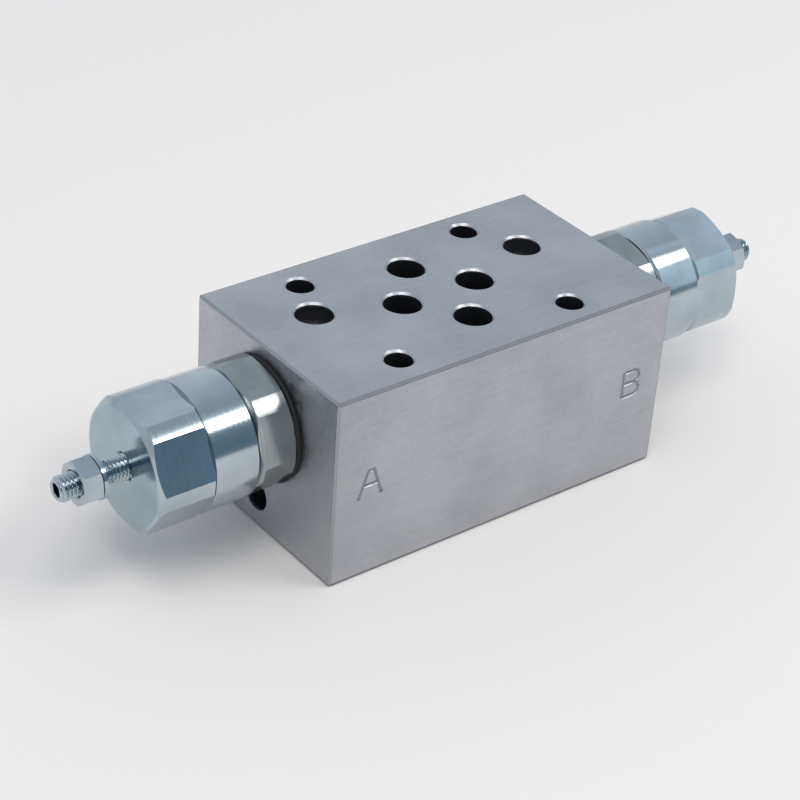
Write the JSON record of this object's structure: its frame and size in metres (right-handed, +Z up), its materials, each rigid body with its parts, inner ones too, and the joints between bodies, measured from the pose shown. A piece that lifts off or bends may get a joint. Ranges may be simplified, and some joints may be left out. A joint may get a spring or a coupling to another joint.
{
  "type": "hydraulic sandwich valve",
  "caption": "Hydraulic sandwich valve: drilled steel block with a standard port pattern and a throttle-check cartridge with adjusting screw and locknut at each end.",
  "frame": {"origin": "middle of the bottom port face", "axes": "+X along the cartridge axis to the B side, +Y across the block to the T port, +Z up from the bottom to the top port face"},
  "size_m": [0.1684, 0.045, 0.04],
  "materials": {
    "block_steel": "fine milled steel, satin",
    "zinc_plate": "bright zinc plated turned steel",
    "hard_steel": "hardened ground steel",
    "seal_rubber": "black nitrile rubber",
    "ptfe": "plain PTFE",
    "brass": "turned brass"
  },
  "bodies": {
    "block": {"valve_block": "block_steel", "port_seals": "seal_rubber", "press_plugs": "hard_steel", "cartridge_body_a": "zinc_plate", "collar_seal_a": "seal_rubber", "nose_seal_a": "seal_rubber", "nose_backup_ring_a": "ptfe", "end_cap_a": "zinc_plate", "needle_guide_a": "brass", "guide_seal_a": "seal_rubber", "needle_seal_a": "seal_rubber", "check_spring_a": "hard_steel", "cartridge_body_b": "zinc_plate", "collar_seal_b": "seal_rubber", "nose_seal_b": "seal_rubber", "nose_backup_ring_b": "ptfe", "end_cap_b": "zinc_plate", "needle_guide_b": "brass", "guide_seal_b": "seal_rubber", "needle_seal_b": "seal_rubber", "check_spring_b": "hard_steel"},
    "needle_a": {"throttle_needle_a": "hard_steel"},
    "screw_a": {"adjusting_screw_a": "zinc_plate"},
    "washer_a": {"lock_washer_a": "zinc_plate"},
    "nut_a": {"locknut_a": "zinc_plate"},
    "poppet_a": {"check_poppet_a": "hard_steel"},
    "needle_b": {"throttle_needle_b": "hard_steel"},
    "screw_b": {"adjusting_screw_b": "zinc_plate"},
    "washer_b": {"lock_washer_b": "zinc_plate"},
    "nut_b": {"locknut_b": "zinc_plate"},
    "poppet_b": {"check_poppet_b": "hard_steel"}
  },
  "joints": [
    {"name": "needle_feed_a", "type": "slide", "parent": "block", "child": "needle_a", "axis": [1, 0, 0], "range_m": [0, 0.004]},
    {"name": "screw_turn_a", "type": "hinge", "parent": "needle_a", "child": "screw_a", "pos_m": [-0.0745, 0, 0.025], "axis": [1, 0, 0], "range_deg": [-5, 1805]},
    {"name": "washer_run_a", "type": "slide", "parent": "block", "child": "washer_a", "axis": [1, 0, 0], "range_m": [-0.002, 0.0053]},
    {"name": "nut_turn_a", "type": "hinge", "parent": "washer_a", "child": "nut_a", "pos_m": [-0.0779, 0, 0.025], "axis": [1, 0, 0], "range_deg": [-905, 2390]},
    {"name": "check_lift_a", "type": "slide", "parent": "block", "child": "poppet_a", "axis": [-1, 0, 0], "range_m": [0, 0.002], "stiffness_N_per_m": 1500, "springref_m": -0.004, "deforming": ["check_spring_a"]},
    {"name": "needle_feed_b", "type": "slide", "parent": "block", "child": "needle_b", "axis": [-1, 0, 0], "range_m": [0, 0.004]},
    {"name": "screw_turn_b", "type": "hinge", "parent": "needle_b", "child": "screw_b", "pos_m": [0.0745, 0, 0.025], "axis": [-1, 0, 0], "range_deg": [-5, 1805]},
    {"name": "washer_run_b", "type": "slide", "parent": "block", "child": "washer_b", "axis": [-1, 0, 0], "range_m": [-0.002, 0.0053]},
    {"name": "nut_turn_b", "type": "hinge", "parent": "washer_b", "child": "nut_b", "pos_m": [0.0779, 0, 0.025], "axis": [-1, 0, 0], "range_deg": [-905, 2390]},
    {"name": "check_lift_b", "type": "slide", "parent": "block", "child": "poppet_b", "axis": [1, 0, 0], "range_m": [0, 0.002], "stiffness_N_per_m": 1500, "springref_m": -0.004, "deforming": ["check_spring_b"]}
  ],
  "couplings": [
    {"joint": "screw_turn_a", "follows": "needle_feed_a", "rad_per_m": 7854},
    {"joint": "nut_turn_a", "follows": "washer_run_a", "rad_per_m": 7854},
    {"joint": "screw_turn_b", "follows": "needle_feed_b", "rad_per_m": 7854},
    {"joint": "nut_turn_b", "follows": "washer_run_b", "rad_per_m": 7854}
  ]
}
